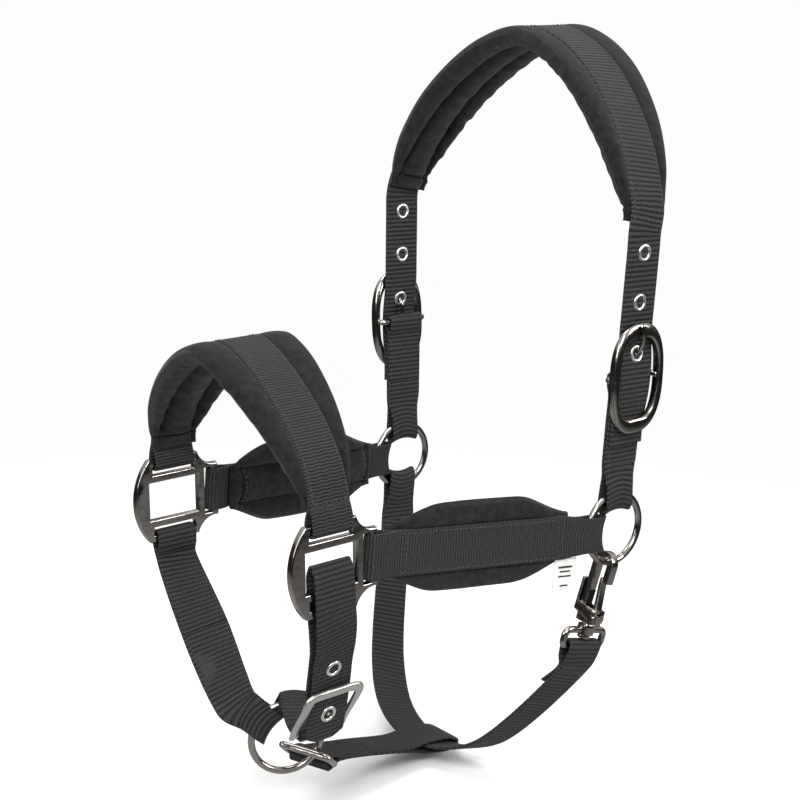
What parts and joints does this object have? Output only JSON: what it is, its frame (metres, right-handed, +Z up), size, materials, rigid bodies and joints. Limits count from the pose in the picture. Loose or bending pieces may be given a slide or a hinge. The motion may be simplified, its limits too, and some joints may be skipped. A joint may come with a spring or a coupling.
{
  "type": "webbing headcollar",
  "caption": "Padded webbing headcollar for a horse, with buckled crown and chin straps, lead ring and a throat strap that clips on with a swivel snap.",
  "frame": {"origin": "middle of the underside of the noseband, where it lies on the bridge of the nose", "axes": "+X from the muzzle towards the poll, +Y to the horse's right, +Z up"},
  "size_m": [0.2761, 0.222, 0.4292],
  "materials": {
    "webbing": "ribbed woven polypropylene, slight sheen",
    "pad_cover": "brushed microfibre",
    "pad_foam": "closed-cell foam",
    "gunmetal": "dark nickel plate, polished",
    "bright_nickel": "bright nickel",
    "pewter": "brushed pewter",
    "black_steel": "black",
    "label_cloth": "white satin tape"
  },
  "bodies": {
    "head_frame": {"nose_webbing": "webbing", "nose_pad_cover": "pad_cover", "nose_pad_foam": "pad_foam", "left_halter_square": "gunmetal", "right_halter_square": "gunmetal", "left_cheek_webbing": "webbing", "right_cheek_webbing": "webbing", "left_cheek_pad_cover": "pad_cover", "right_cheek_pad_cover": "pad_cover", "left_cheek_pad_foam": "pad_foam", "right_cheek_pad_foam": "pad_foam", "right_chin_strap": "webbing", "left_chin_strap": "webbing", "chin_anchor_strap": "webbing", "chin_buckle_frame": "pewter", "chin_eyelets": "bright_nickel", "connector_strap": "webbing", "throat_strap": "webbing", "snap_eye": "gunmetal", "size_label": "label_cloth"},
    "crown": {"crown_webbing": "webbing", "crown_pad_cover": "pad_cover", "crown_pad_foam": "pad_foam", "left_upper_cheek_strap": "webbing", "right_upper_cheek_strap": "webbing", "left_crown_buckle_frame": "gunmetal", "right_crown_buckle_frame": "gunmetal", "left_crown_eyelets": "bright_nickel", "right_crown_eyelets": "bright_nickel"},
    "left_ring": {"left_cheek_ring": "gunmetal"},
    "right_ring": {"right_cheek_ring": "gunmetal"},
    "lead_ring": {"chin_ring": "gunmetal"},
    "link": {"chin_link": "gunmetal"},
    "left_tongue": {"left_crown_buckle_tongue": "gunmetal"},
    "right_tongue": {"right_crown_buckle_tongue": "gunmetal"},
    "chin_tongue": {"chin_buckle_tongue": "bright_nickel"},
    "hook": {"snap_hook": "gunmetal", "snap_gate_rivet": "bright_nickel", "snap_spring": "black_steel"},
    "gate": {"snap_gate": "gunmetal"}
  },
  "joints": [
    {"name": "crown_fold", "type": "hinge", "parent": "head_frame", "child": "crown", "pos_m": [0.184, 0, -0.10735], "axis": [0, 1, 0], "range_deg": [-4, 10]},
    {"name": "left_ring_turn", "type": "hinge", "parent": "head_frame", "child": "left_ring", "pos_m": [0.184, -0.095, -0.10735], "axis": [0, 1, 0], "continuous": true},
    {"name": "right_ring_turn", "type": "hinge", "parent": "head_frame", "child": "right_ring", "pos_m": [0.184, 0.095, -0.10735], "axis": [0, 1, 0], "continuous": true},
    {"name": "lead_ring_turn", "type": "hinge", "parent": "head_frame", "child": "lead_ring", "pos_m": [0.0134, -0.015, -0.21395], "axis": [-0.342, -0.9397, 0], "continuous": true},
    {"name": "link_swing", "type": "hinge", "parent": "head_frame", "child": "link", "pos_m": [0.03211, -0.01274, -0.23293], "axis": [0.453, -0.8858, -0.1007], "range_deg": [-2.5, 8]},
    {"name": "left_tongue_lift", "type": "hinge", "parent": "crown", "child": "left_tongue", "pos_m": [0.18796, -0.09761, -0.0194], "axis": [1, 0, 0], "range_deg": [0, 1.6]},
    {"name": "right_tongue_lift", "type": "hinge", "parent": "crown", "child": "right_tongue", "pos_m": [0.18796, 0.09761, -0.0194], "axis": [-1, 0, 0], "range_deg": [0, 1.6]},
    {"name": "chin_tongue_drop", "type": "hinge", "parent": "head_frame", "child": "chin_tongue", "pos_m": [0.009, -0.05029, -0.19432], "axis": [-1, 0, 0], "range_deg": [0, 4]},
    {"name": "snap_swivel", "type": "hinge", "parent": "head_frame", "child": "hook", "pos_m": [0.16853, -0.09082, -0.16509], "axis": [0.2574, -0.1045, 0.9606], "range_deg": [-12, 12]},
    {"name": "gate_open", "type": "hinge", "parent": "hook", "child": "gate", "pos_m": [0.17033, -0.09618, -0.15835], "axis": [-0.9659, 0, 0.2588], "range_deg": [0, 11.5], "stiffness_Nm_per_rad": 0.02, "springref_deg": -11.46}
  ]
}
